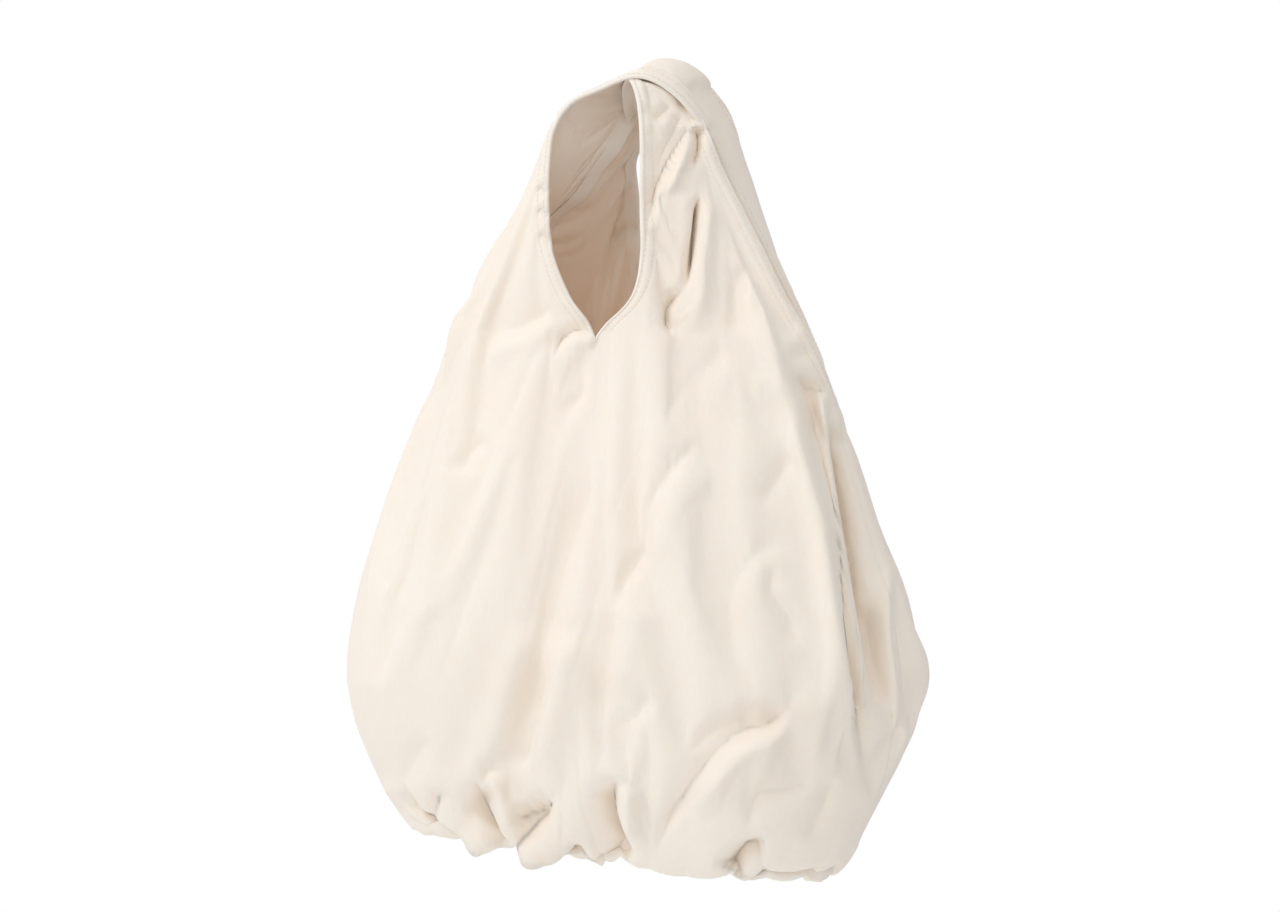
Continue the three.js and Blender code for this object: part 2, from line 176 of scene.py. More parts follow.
def spread(length):
    """Places of the columns along a row: close together in the hems, even between them."""
    hem = min(HEM_ZONE / length, WIDEST_HEM_SHARE)
    share = np.linspace(0, 1, HEM_COLUMNS + 1)[:-1] * hem
    between = np.linspace(hem, 1 - hem, COLUMNS + 1 - 2 * HEM_COLUMNS)
    return np.concatenate([share, between, 1 - share[::-1]])


def in_columns(edge1, corner, edge2):
    """The rounded points in columns of equal distances, the columns' places from 0 to 1, and
    the length of each row."""
    fine = np.linspace(0, 1, TRIAL_COLUMNS)
    trial = rounded(edge1, corner, edge2, np.broadcast_to(fine, (len(corner), TRIAL_COLUMNS)))
    steps = np.linalg.norm(np.diff(trial, axis=1), axis=2)
    run = np.concatenate([np.zeros((len(corner), 1)), np.cumsum(steps, axis=1)], axis=1)
    places = np.stack([spread(r[-1]) for r in run])
    s = np.stack([np.interp(place * r[-1], r, fine) for place, r in zip(places, run)])
    return rounded(edge1, corner, edge2, s), places, run[:, -1]


def across_normals(points):
    return unit(np.cross(np.gradient(points, axis=1), np.gradient(points, axis=0)))


quarters = {
    "left_front": quarter(left_front_leg, -1, True),
    "right_front": quarter(right_front_leg, 1, True),
    "right_back": quarter(right_back_leg, 1, False),
    "left_back": quarter(left_back_leg, -1, False),
}
LEGS = {"outer": ("left_front", "right_back"), "inner": ("right_front", "left_back")}
BAND_OF = {leg: (band, leg == legs[0]) for band, legs in LEGS.items() for leg in legs}
# Which side of each grid of points is the outside of the bag
OUTWARD = {"outer": -1, "inner": 1}
OUTWARD |= {leg: OUTWARD[band] for leg, (band, _) in BAND_OF.items()}
ROWS_TO_ARMHOLE = 104
ROWS_TO_MOUTH = 12
ROWS_TO_LEG_TOP = 60
CROWN_ROWS = 84
COLUMNS = 130
HEM_COLUMNS = 8
HEM_ZONE = 11
WIDEST_HEM_SHARE = 0.2
TRIAL_COLUMNS = 241
TRIAL_ROWS = 400

trial_rows = np.linspace(0, ARMHOLE, TRIAL_ROWS)
climbed = run_along(smooth_line(quarters["left_front"]["corner"], trial_rows))
climb_to_armhole = np.linspace(0, climbed[-1], ROWS_TO_ARMHOLE + 1)
wall_rows = np.concatenate([
    np.interp(climb_to_armhole, climbed, trial_rows),
    np.linspace(ARMHOLE, MOUTH, ROWS_TO_MOUTH + 1)[1:],
    np.linspace(MOUTH, LEG_TOP, ROWS_TO_LEG_TOP + 1)[1:],
])
below_mouth = wall_rows <= MOUTH + 1e-6
below_armhole = wall_rows <= ARMHOLE + 1e-6
mouth_row = int(np.nonzero(below_mouth)[0][-1])
armhole_row = int(np.nonzero(below_armhole)[0][-1])
# Lines that two quarters share: the quarters, the column of each and the rows
JOINED = [
    ("left_front", "right_front", 0, below_mouth),
    ("left_back", "right_back", 0, below_mouth),
    ("left_front", "left_back", -1, below_armhole),
    ("right_front", "right_back", -1, below_armhole),
]

# Two bands over the crown: the outer one from the left front leg to the right back leg, and the
# inner one under it. Their lines start and end in the legs, so the legs flow into the handle.
crown_columns = "x1 y1 up1 x2 y2 up2 x3 y3 up3"
outer_crown = table(
    crown_columns,
    (-38, -48, 524, -45, -28, 525, -19, 14, 514),
    (-28, -43, 542, -32, -22, 541, -12, 22, 530),
    (-9, -39, 552, -8, -10, 559, -4, 28, 542),
    (19, -36, 562, 22, -5, 573, 14, 34, 553),
    (39, -27, 553, 43, 6, 565, 34, 44, 549),
    (57, -15, 529, 59, 22, 536, 46, 52, 529),
)
inner_crown = table(
    crown_columns,
    (28, -46, 528, 46, -35, 526, 62, -12, 524),
    (21, -39, 549, 37, -30, 548, 52, -10, 538),
    (12, -33, 560, 23, -23, 561, 37, -5, 549),
    (-2, -14, 552, 10, -3, 560, 22, 9, 550),
    (-14, 12, 531, 4, 21, 545, 13, 31, 540),
    (-26, 24, 520, -16, 38, 527, -5, 46, 527),
)


def band_lines(front, crown, back):
    """First edge, corner line and second edge of a band, base to base over the crown."""
    edge1, crest, edge2 = (
        np.stack([crown[f"x{k}"], crown[f"y{k}"], crown[f"up{k}"]], 1) for k in (1, 2, 3)
    )
    return {
        "edge1": np.vstack([front["mouth"], edge1, back["side"][::-1]]),
        "corner": np.vstack([
            front["corner"], corner_from(edge1, crest, edge2), back["corner"][::-1],
        ]),
        "edge2": np.vstack([front["side"], edge2, back["mouth"][::-1]]),
    }


bands = {
    "outer": band_lines(quarters["left_front"], outer_crown, quarters["right_back"]),
    "inner": band_lines(quarters["right_front"], inner_crown, quarters["left_back"]),
}
BAND_END = len(bands["outer"]["corner"]) - 1


def quarter_lines(name):
    band, front = BAND_OF[name]
    v = wall_rows if front else BAND_END - wall_rows
    lines = bands[band]
    return {
        "mouth": smooth_line(lines["edge1" if front else "edge2"], v),
        "corner": smooth_line(lines["corner"], v),
        "side": smooth_line(lines["edge2" if front else "edge1"], v),
    }


lines = {name: quarter_lines(name) for name in quarters}
for a, b, column, shared in JOINED:
    key = "side" if column else "mouth"
    halfway = (lines[a][key][shared] + lines[b][key][shared]) / 2
    lines[a][key][shared] = halfway
    lines[b][key][shared] = halfway
crown_v = np.linspace(LEG_TOP, BAND_END - LEG_TOP, CROWN_ROWS + 1)
for band in LEGS:
    lines[band] = {key: smooth_line(line, crown_v) for key, line in bands[band].items()}
cloth = {}
for name, edges in lines.items():
    points, place, length = in_columns(*edges.values())
    normals = across_normals(points) * OUTWARD[name]
    cloth[name] = {"points": points, "normals": normals, "place": place, "length": length}
for a, b, column, shared in JOINED:
    normal = unit(cloth[a]["normals"][shared, column] + cloth[b]["normals"][shared, column])
    cloth[a]["normals"][shared, column] = normal
    cloth[b]["normals"][shared, column] = normal
for band, (front, back) in LEGS.items():
    for row, leg, columns in ((0, front, slice(None)), (-1, back, slice(None, None, -1))):
        normal = unit(cloth[band]["normals"][row] + cloth[leg]["normals"][-1, columns])
        cloth[band]["normals"][row] = normal
        cloth[leg]["normals"][-1, columns] = normal

# Folds are drawn as the camera sees them, on a sheet of 1280 by 912 units of 0.709 mm
SHEET_WIDTH = 1280
SHEET_HEIGHT = 912
UNIT = 0.709
SEEN_FROM = math.radians(28)
SEEN_FROM_ABOVE = math.radians(5.5)
SEEN_DISTANCE = 5000
SEEN_RIGHT = 2.8
SEEN_HEIGHT = 293
rightwards = np.array([math.cos(SEEN_FROM), math.sin(SEEN_FROM), 0])
SEEN_CENTRE = SEEN_RIGHT * rightwards + np.array([0, 0, SEEN_HEIGHT])
towards_eye = np.array([
    math.sin(SEEN_FROM) * math.cos(SEEN_FROM_ABOVE),
    -math.cos(SEEN_FROM) * math.cos(SEEN_FROM_ABOVE),
    math.sin(SEEN_FROM_ABOVE),
])
upwards = np.cross(towards_eye, rightwards)


def as_seen(points):
    """Where points lie on the drawn sheet, in millimetres from its upper left corner."""
    away = points - SEEN_CENTRE
    nearer = SEEN_DISTANCE / (SEEN_DISTANCE - away @ towards_eye)
    across = SHEET_WIDTH / 2 * UNIT + (away @ rightwards) * nearer
    down = SHEET_HEIGHT / 2 * UNIT - (away @ upwards) * nearer
    return np.stack([across, down], -1)


FOLD_STRENGTH = 2.1
STEPS_BETWEEN_POINTS = 8
REACH_IN_WIDTHS = 2.6
FADE_MARGIN = 0.02


def fold(depth, left, right, *line, sharp=1.4, start=0.2, end=0.3):
    """One fold: how deep (minus sinks), its width left and right of its line in mm, the points of
    the line, how sharp its crease is, and over what share of its length it fades at each end."""
    points = np.array(line, float) * UNIT
    last = len(points) - 1
    path = smooth_line(points, np.linspace(0, last, STEPS_BETWEEN_POINTS * last + 1))
    return dict(depth=depth, left=left, right=right, path=path, sharp=sharp, start=start, end=end)


def fold_heights(folds, seen):
    """How far each point of the sheet lies over or under the smooth cloth."""
    flat = seen.reshape(-1, 2)
    total = np.zeros(len(flat))
    for f in folds:
        path = f["path"]
        reach = REACH_IN_WIDTHS * max(f["left"], f["right"])
        low, high = path.min(0) - reach, path.max(0) + reach
        near = np.nonzero(np.all((flat > low) & (flat < high), axis=1))[0]
        if not len(near):
            continue
        p = flat[near][:, None]
        a, b = path[:-1][None], path[1:][None]
        ab = b - a
        t = np.clip(np.sum((p - a) * ab, 2) / np.sum(ab * ab, 2), 0, 1)
        off = p - (a + ab * t[..., None])
        distance = np.linalg.norm(off, axis=2)
        k = np.argmin(distance, axis=1)
        rows = np.arange(len(near))
        d = distance[rows, k]
        step = np.linalg.norm(ab[0], axis=1)
        run = run_along(path)
        place = (run[k] + step[k] * t[rows, k]) / run[-1]
        turn = ab[0][k, 0] * off[rows, k, 1] - ab[0][k, 1] * off[rows, k, 0]
        width = np.where(turn > 0, f["left"], f["right"])
        fade = smoothstep(place, -FADE_MARGIN, f["start"])
        fade = fade * (1 - smoothstep(place, 1 - f["end"], 1 + FADE_MARGIN))
        total[near] += FOLD_STRENGTH * f["depth"] * fade * np.exp(-((d / width) ** f["sharp"]))
    return total.reshape(seen.shape[:-1])


# Most lines run down the sheet: left and right of them are the sheet's own
front_folds = [
    # pulled folds under the bottom of the mouth
    fold(-5, 7, 3, (597, 334), (580, 331), (564, 342), (556, 356), sharp=1.2, end=0.4),
    fold(2.5, 4, 5, (597, 341), (580, 339), (569, 348), sharp=2),
    fold(-5, 14, 9, (560, 303), (543, 318), (525, 328), (500, 333), (468, 352)),
    fold(3, 9, 9, (560, 322), (535, 336), (505, 345), (480, 362), sharp=2),
    fold(-2.2, 8, 5, (580, 352), (580, 378), (577, 400), (550, 413)),
    fold(-3, 9, 6, (484, 436), (468, 450), (458, 476)),
    # the long folds down the middle
    fold(
        -5, 22, 13, (604, 470), (578, 512), (560, 560), (548, 610), (530, 670), (514, 720), (500, 790),
    ),
    fold(-5.5, 13, 7, (546, 655), (537, 690), (528, 735), (518, 772), sharp=1.2, start=0.4, end=0.15),
    fold(4, 12, 16, (566, 630), (552, 690), (538, 745), (524, 790), sharp=2),
    fold(3.5, 12, 14, (524, 620), (508, 670), (492, 730), (484, 780), sharp=2),
    fold(
        -5.5, 18, 10, (706, 436), (675, 472), (652, 506), (639, 555), (614, 596), (602, 625),
        sharp=1.2,
    ),
    fold(3, 12, 12, (712, 458), (684, 492), (664, 530), (652, 575), sharp=2),
    fold(-3.5, 14, 10, (612, 610), (604, 660), (600, 700), (602, 724)),
    fold(-2.5, 10, 8, (655, 690), (632, 716), (608, 730)),
    fold(3, 15, 15, (640, 600), (624, 660), (616, 700), sharp=2),
    fold(-3, 14, 10, (738, 345), (700, 374), (676, 405), (658, 432), sharp=1.6),
    # the right half
    fold(-2.8, 14, 9, (794, 543), (762, 550), (738, 578), (731, 602), (735, 640), (740, 668)),
    fold(-2.5, 7, 7, (774, 562), (772, 592), (790, 620), (797, 650)),
    fold(
        -7.5, 15, 5, (790, 708), (772, 724), (744, 731), (720, 751), (696, 781), (672, 816), (653, 856),
        sharp=1.2, start=0.1,
    ),
    fold(4, 10, 10, (790, 728), (766, 742), (738, 752), (712, 782), (690, 812), sharp=2),
    fold(-3, 8, 8, (765, 713), (735, 718), (708, 732), (686, 756)),
    fold(-3.5, 8, 7, (815, 772), (796, 783), (762, 787), (751, 800), (748, 826)),
    fold(-3, 8, 6, (832, 770), (824, 800), (812, 824), (800, 838)),
    fold(-2.5, 10, 10, (796, 450), (775, 480), (758, 510)),
    # folds that run down from the place where the handle is gathered
    fold(-3.3, 4, 5, (682, 112), (676, 124), (664, 146), (652, 176), sharp=1.3, start=0.1),
    fold(2.5, 5, 5, (688, 124), (683, 145), (674, 170), (664, 198), sharp=1.8, start=0.3),
    fold(-2.5, 4, 4, (672, 104), (664, 112), (652, 120), sharp=1.3),
    fold(-6, 7, 3, (692, 120), (676, 150), (655, 190), (645, 240), sharp=1.2),
    fold(-6.5, 5, 3, (698, 128), (697, 150), (690, 170), sharp=1.2, start=0.1),
    fold(-11, 6, 2.2, (700, 195), (698, 230), (694, 262), (688, 290), sharp=1.2, end=0.4),
    fold(-7, 6, 3, (684, 290), (674, 310), (674, 336), sharp=1.2),
    fold(3, 7, 8, (706, 190), (706, 240), (700, 290), (684, 340), sharp=2),
    fold(2.5, 6, 6, (690, 190), (686, 250), (668, 300), sharp=2),
    fold(-2.5, 9, 8, (745, 262), (735, 300), (742, 340), sharp=1.7),
    # gathers that open at the bottom edge
    fold(-11, 10, 3, (403, 780), (418, 802), (436, 820), (456, 838), sharp=1.2, start=0.3, end=0.05),
    fold(-5, 6, 4, (442, 786), (438, 806), (434, 822), sharp=1.3),
    fold(-12, 11, 3, (474, 776), (484, 800), (496, 828), (519, 858), sharp=1.2, start=0.3, end=0.05),
    fold(5, 4, 8, (484, 772), (500, 806), (514, 836), sharp=1.8),
    fold(-6, 6, 4, (551, 802), (530, 812), (508, 818), sharp=1.2, start=0.05),
    fold(-7, 8, 3, (548, 808), (530, 828), (516, 848), sharp=1.2, start=0.1, end=0.05),
    fold(-8, 8, 3, (574, 840), (580, 856), (586, 872), sharp=1.2, end=0.05),
    fold(-12, 15, 3, (620, 772), (616, 800), (618, 829), (628, 858), sharp=1.15, start=0.3, end=0.05),
    fold(5, 4, 10, (628, 782), (626, 810), (632, 846), sharp=1.8),
    fold(-10, 5, 8, (764, 838), (744, 844), (730, 866), sharp=1.3, start=0.15, end=0.05),
    fold(9.5, 22, 22, (452, 844), (490, 858), (530, 867), (572, 874), sharp=2),
    fold(-5, 24, 24, (744, 880), (790, 884), (850, 872), sharp=2),
    fold(-4, 14, 14, (822, 880), (850, 868), (866, 842), sharp=2, start=0.3),
    # press lines down the front
    fold(-0.35, 1.6, 1.6, (497, 515), (470, 580), (448, 646), (417, 731), sharp=1.2),
    fold(-0.35, 1.6, 1.6, (574, 434), (550, 503), (525, 609), (493, 739), sharp=1.2),
    fold(-0.35, 1.6, 1.6, (657, 361), (641, 438), (623, 483), (574, 666), (562, 735), sharp=1.2),
    # puckers beside the hem on the left
    fold(-1.8, 4, 3, (541, 186), (551, 196)),
    fold(-1.6, 4, 3, (540, 208), (554, 219)),
    fold(-1.6, 4, 3, (541, 232), (557, 246)),
    # the left side
    fold(2.5, 14, 10, (440, 590), (408, 625), (390, 652), (382, 700), sharp=1.8),
    fold(-2.5, 12, 10, (410, 610), (388, 640), (372, 690), sharp=1.8),
    fold(-3, 10, 8, (430, 735), (412, 760), (400, 790)),
    # the recess between the front and the side on the right, its ridges and its knees
    fold(
        4, 12, 2.5, (709, 178), (743, 262), (778, 335), (796, 392), (806, 436), (824, 504), (836, 567),
        (845, 640), (858, 730), (864, 800),
        sharp=2,
    ),
    fold(
        -8, 2.4, 9, (790, 372), (802, 400), (813, 440), (831, 504), (843, 567), (851, 640), (863, 725),
        (868, 800),
        sharp=1.3, start=0.06,
    ),
    fold(
        6, 4, 2.2, (815, 392), (826, 440), (839, 528), (856, 600), (866, 660), (872, 710), (882, 742),
        sharp=1.6, start=0.08,
    ),
    fold(
        -9, 2.4, 13, (826, 420), (838, 470), (850, 528), (866, 600), (876, 660), (884, 715),
        sharp=1.3, start=0.1,
    ),
    fold(4.5, 5, 3, (893, 560), (898, 640), (903, 700), (900, 742), sharp=1.7),
    fold(-4, 7, 6, (880, 600), (886, 660), (892, 720), sharp=1.8),
    fold(-3.5, 5, 4, (794, 384), (812, 390), (822, 398)),
    fold(
        -8, 4, 26, (800, 385), (820, 430), (838, 490), (851, 560), (862, 640), (872, 710),
        sharp=1.5, start=0.3,
    ),
    fold(5, 13, 13, (918, 620), (931, 670), (912, 715), sharp=1.5, start=0.5, end=0.5),
]
inside_folds = [
    fold(4, 8, 8, (634, 118), (606, 166), (566, 222), sharp=1.6, start=0.1),
    fold(-4, 8, 8, (640, 165), (622, 205), (612, 250), (606, 312)),
    fold(-3, 5, 5, (640, 228), (620, 236), (614, 250)),
]
# Creases that run up from the base seam: place between the mouth line and the side line, depth,
# height over which they fade and width at each side
gathers = {
    "left_front": [
        (0.06, 6, 24, 8), (0.13, 5, 16, 6), (0.20, 8, 34, 9), (0.34, 11, 42, 9), (0.47, 5, 26, 8),
        (0.60, 9, 32, 9), (0.74, 5, 26, 8), (0.90, 6, 34, 10),
    ],
    "right_front": [
        (0.00, 4, 20, 6), (0.095, 11, 46, 8), (0.23, 6, 34, 9), (0.38, 4, 20, 8),
        (0.55, 8, 22, 9), (0.72, 5, 30, 9), (0.88, 6, 40, 10),
    ],
    "right_back": [
        (0.02, 7, 40, 9), (0.17, 6, 28, 9), (0.30, 9, 44, 10), (0.45, 5, 24, 8),
        (0.59, 8, 40, 9), (0.75, 5, 30, 8), (0.92, 7, 40, 10),
    ],
    "left_back": [
        (0.12, 7, 36, 9), (0.26, 8, 44, 10), (0.40, 5, 26, 8), (0.53, 9, 44, 10),
        (0.68, 5, 30, 8), (0.82, 8, 40, 9), (0.97, 5, 30, 8),
    ],
}
# Folds behind: depth (minus sinks), and for both ends the distance to the right and the height
back_folds = [
    (-9, 20, 340, 60, 120), (-7, -40, 310, -74, 110), (-6, 105, 285, 138, 110),
    (-6, -112, 265, -152, 120), (-6, -8, 372, -22, 250), (5, 0, 300, 20, 110),
    (4, 76, 270, 104, 100), (4, -78, 280, -112, 100), (-5, 44, 120, 22, 40),
    (-5, -60, 110, -84, 44), (-4, 92, 108, 110, 48),
]
BACK_STRENGTH = 1.6
BACK_BOW = 9
BACK_WIDTH = 14
RIPPLES = 22
RIPPLE_LENGTHS = (26, 90)
RIPPLE_STRENGTH = 0.16


def back_heights(points):
    """Folds on the cloth that faces away, each bowed a little sideways between its ends."""
    total = np.zeros(points.shape[:-1])
    x, up = points[..., 0], points[..., 2]
    for depth, x1, up1, x2, up2 in back_folds:
        length = math.hypot(x2 - x1, up2 - up1)
        t = ((x - x1) * (x2 - x1) + (up - up1) * (up2 - up1)) / length**2
        bow = BACK_BOW * np.sin(np.clip(t, 0, 1) * math.pi)
        d = ((up - up1) * (x2 - x1) - (x - x1) * (up2 - up1)) / length - bow
        fade = smoothstep(t, -0.05, 0.3) * (1 - smoothstep(t, 0.6, 1.05))
        total += BACK_STRENGTH * depth * fade * np.exp(-np.abs(d / BACK_WIDTH) ** 1.5)
    return total


def ripple(points, seed):
    """Slight unevenness of hung cotton: slanting waves that add up to less than a millimetre."""
    rng = np.random.default_rng(seed)
    total = np.zeros(points.shape[:-1])
    for _ in range(RIPPLES):
        wave = rng.uniform(*RIPPLE_LENGTHS)
        angle = rng.uniform(-0.5, 0.5)
        way = rng.uniform(0, 2 * math.pi)
        flat = math.cos(angle)
        k = np.array([math.cos(way) * flat, math.sin(way) * flat, 0.45 * math.sin(angle)])
        strength = wave / RIPPLE_LENGTHS[1]
        total += strength * np.sin(points @ k * (2 * math.pi / wave) + rng.uniform(0, 6.28))
    return RIPPLE_STRENGTH * total


climb = np.full(len(wall_rows), climbed[-1] + 1.0)
climb[: ROWS_TO_ARMHOLE + 1] = climb_to_armhole
# The two lines of stitches in a hem: distance from its edge, depth and width of the groove
STITCH_LINES = [(7.6, 0.5, 1.1), (2.2, 0.25, 0.9)]
HEM_PROUD = 0.45
HEM_RISES = (-0.5, 1.5)
HEM_FALLS = (7.2, 8.8)


def hem_relief(distance):
    """The turned-in edge stands a little proud, with a groove along each line of stitches."""
    relief = HEM_PROUD * smoothstep(distance, *HEM_RISES) * (1 - smoothstep(distance, *HEM_FALLS))
    for place, depth, width in STITCH_LINES:
        relief = relief - depth * np.exp(-(((distance - place) / width) ** 2))
    return relief


# How far cloth must face the camera, or away from it, for each kind of fold to fade in: 1 is
# straight at it. Cloth that faces the camera is folded towards it rather than along its normal.
FRONT_FADES_IN = (-0.12, 0.2)
TURNS_TO_CAMERA = (0.1, 0.45)
TURN_TO_CAMERA = 0.7
INSIDE_FADES_IN = (0.1, 0.4)
BACK_FADES_IN = (0.0, 0.35)
# Above the base seam the gathers grow to full depth at 30 mm, then widen and fade
GATHER_RISE = (0.5, 30)
GATHER_WIDENS_OVER = 120
GATHER_SHARP = 1.15
BETWEEN_GATHERS = 0.18
RIPPLE_RISE = (0, 25)
RIPPLE_SEED = 3
SEAM_DEPTH = 0.7
SEAM_WIDTH = 1.3

for name, part in cloth.items():
    points, normals = part["points"], part["normals"]
    facing = normals @ towards_eye
    seen = as_seen(points)
    drawn = smoothstep(facing, *FRONT_FADES_IN) * fold_heights(front_folds, seen)
    turned = TURN_TO_CAMERA * smoothstep(facing, *TURNS_TO_CAMERA)[..., None]
    way = unit(normals * (1 - turned) + towards_eye * turned)
    height = -smoothstep(-facing, *INSIDE_FADES_IN) * fold_heights(inside_folds, seen)
    length = part["length"][:, None]
    run = part["place"] * length
    mouth_hem = hem_relief(run)
    side_hem = hem_relief(length - run)
    uneven = ripple(points, RIPPLE_SEED)
    if name in quarters:
        height += smoothstep(-facing, *BACK_FADES_IN) * back_heights(points)
        up = climb[:, None]
        rise = smoothstep(up, *GATHER_RISE)
        for place, depth, fade, width in gathers[name]:
            away = run - place * length
            grow = 1 + up / GATHER_WIDENS_OVER
            crease = np.exp(-np.abs(away / (width * grow)) ** GATHER_SHARP) - BETWEEN_GATHERS
            height -= depth * rise * np.exp(-np.maximum(up - GATHER_RISE[1], 0) / fade) * crease
        mouth_hem[: mouth_row + 1] = 0
        side_hem[: armhole_row + 1] = 0
        height += uneven * smoothstep(up, *RIPPLE_RISE)
        from_seam = (length - run)[: armhole_row + 1]
        height[: armhole_row + 1] -= SEAM_DEPTH * np.exp(-((from_seam / SEAM_WIDTH) ** 2))
    else:
        height += uneven
    height = height + mouth_hem + side_hem
    part["points"] = points + way * drawn[..., None] + normals * height[..., None]


def meet():
    """Quarters take the halfway line where they share one, and bands start where legs end."""
    for a, b, column, shared in JOINED:
        halfway = (cloth[a]["points"][shared, column] + cloth[b]["points"][shared, column]) / 2
        cloth[a]["points"][shared, column] = halfway
        cloth[b]["points"][shared, column] = halfway
    for band, (front, back) in LEGS.items():
        cloth[band]["points"][0] = cloth[front]["points"][-1]
        cloth[band]["points"][-1] = cloth[back]["points"][-1, ::-1]


meet()


def grid_faces(rows, columns, start, flip):
    """Four-sided faces of a grid of points, seen from outside."""
    i = np.arange(rows - 1)[:, None] * columns + np.arange(columns - 1)[None] + start
    faces = np.stack([i, i + 1, i + 1 + columns, i + columns], -1).reshape(-1, 4)
    return faces[:, ::-1] if flip else faces


def sheet_of(grids):
    """One sheet of points and faces from grids of points, with points in one place merged."""
    points, faces, start = [], [], 0
    for grid, flip in grids:
        points.append(grid.reshape(-1, 3))
        faces.append(grid_faces(grid.shape[0], grid.shape[1], start, flip))
        start += grid.shape[0] * grid.shape[1]
    points, faces = np.vstack(points), np.vstack(faces)
    _, first, same = np.unique(np.round(points, 3), axis=0, return_index=True, return_inverse=True)
    return points[first], same.reshape(-1)[faces], same.reshape(-1)


# The cloth is cut a little wider than the bag hangs, and a short simulation of the whole bag, on
# every second row and column, settles its folds. The cloth is held at the base seam, along the
# openings and at both edges of the bands. Most of the slow drift of whole areas is taken out.
EVERY = 2
EXTRA_WIDTH = 0.012
SETTLE_FRAMES = 16
MOST_MOVE = 8
MOST_MOVE_AT_TOP = MOST_MOVE / 3
LOOSE_ROWS = 3
DRIFT_STEPS = 160
DRIFT_UNDONE = 0.85

hem_steps = np.arange(0, HEM_COLUMNS, HEM_COLUMNS // 2)
settled_columns = np.concatenate([
    hem_steps, np.arange(HEM_COLUMNS, COLUMNS - HEM_COLUMNS + 1, EVERY), COLUMNS - hem_steps[::-1],
])


def settle():
    """How far the simulation moves each point of the coarse grids."""
    names = list(cloth)
    coarse = [cloth[name]["points"][::EVERY][:, settled_columns] for name in names]
    points, faces, ids = sheet_of([(g, OUTWARD[n] < 0) for g, n in zip(coarse, names)])
    mesh = bpy.data.meshes.new("settling")
    mesh.from_pydata((points * MM).tolist(), [], faces.tolist())
    mesh.validate()
    piece = bpy.data.objects.new("settling", mesh)
    bpy.context.collection.objects.link(piece)
    held = []
    for name, grid in zip(names, coarse):
        hold = np.zeros(grid.shape[:2], bool)
        if name in quarters:
            hold[0] = True
            hold[mouth_row // EVERY + LOOSE_ROWS:, 0] = True
            hold[armhole_row // EVERY + LOOSE_ROWS:, -1] = True
        else:
            hold[:, [0, -1]] = True
        held.append(hold.ravel())
    group = piece.vertex_groups.new(name="held")
    group.add(np.unique(ids[np.concatenate(held)]).tolist(), 1.0, "REPLACE")
    piece.shape_key_add(name="hung")
    cut = piece.shape_key_add(name="cut")
    wide = points * MM
    wide[:, :2] *= 1 + EXTRA_WIDTH
    cut.data.foreach_set("co", wide.ravel())
    cut.value = 0
    settling = piece.modifiers.new("cloth", "CLOTH")
    how = settling.settings
    how.quality = 6
    how.mass = 0.12
    how.tension_stiffness = 25
    how.compression_stiffness = 25
    how.shear_stiffness = 8
    how.bending_stiffness = 2.5
    how.tension_damping = 8
    how.compression_damping = 8
    how.shear_damping = 6
    how.bending_damping = 0.6
    how.air_damping = 3
    how.vertex_group_mass = "held"
    how.rest_shape_key = cut
    how.use_pressure = True
    how.uniform_pressure_force = 1.5
    how.effector_weights.gravity = 0.3
    settling.point_cache.frame_start = 1
    settling.point_cache.frame_end = SETTLE_FRAMES
    for number in range(1, SETTLE_FRAMES + 1):
        bpy.context.scene.frame_set(number)
    shaped = piece.evaluated_get(bpy.context.evaluated_depsgraph_get()).to_mesh()
    settled = np.empty(len(shaped.vertices) * 3)
    shaped.vertices.foreach_get("co", settled)
    settled = settled.reshape(-1, 3) / MM
    bpy.data.objects.remove(piece)
    bpy.context.scene.frame_set(1)
    moved = settled - points
    sides = np.vstack([faces[:, [k, (k + 1) % 4]] for k in range(4)])
    sides = np.vstack([sides, sides[:, ::-1]])
    friends = np.bincount(sides[:, 0], minlength=len(points))[:, None]
    drift = moved.copy()
    for _ in range(DRIFT_STEPS):
        beside = [np.bincount(sides[:, 0], drift[sides[:, 1], k], len(points)) for k in range(3)]
        drift = (drift + np.stack(beside, 1) / friends) / 2
    moved = (moved - DRIFT_UNDONE * drift)[ids]
    starts = np.cumsum([0] + [g.shape[0] * g.shape[1] for g in coarse])
    return {n: moved[a:b].reshape(g.shape) for n, g, a, b in zip(names, coarse, starts, starts[1:])}


def finer(field, rows, columns):
    """A field on the coarse grid of the simulation, read on the fine grid."""
    v = np.linspace(0, len(field) - 1, rows)
    field = smooth_line(field.reshape(len(field), -1), v).reshape(rows, -1, 3)
    u = np.interp(np.arange(columns), settled_columns, np.arange(len(settled_columns)))
    field = np.moveaxis(field, 1, 0)
    return np.moveaxis(smooth_line(field.reshape(len(field), -1), u).reshape(columns, rows, 3), 0, 1)


moved = settle()
for name, part in cloth.items():
    move = moved[name]
    size = np.linalg.norm(move, axis=2, keepdims=True)
    most = np.full((len(move), 1, 1), MOST_MOVE_AT_TOP)
    if name in quarters:
        start = mouth_row // EVERY
        most[:start] = MOST_MOVE
        most[start:, 0, 0] = np.linspace(MOST_MOVE, MOST_MOVE_AT_TOP, len(move) - start)
    move *= most * np.tanh(size / most) / np.maximum(size, 1e-6)
    part["points"] = part["points"] + finer(move, *part["points"].shape[:2])
meet()


def sheet_normals(points, faces):
    diagonal1 = points[faces[:, 2]] - points[faces[:, 0]]
    diagonal2 = points[faces[:, 3]] - points[faces[:, 1]]
    normal = np.cross(diagonal1, diagonal2)
    sums = np.zeros_like(points)
    for k in range(4):
        np.add.at(sums, faces[:, k], normal)
    return unit(sums)


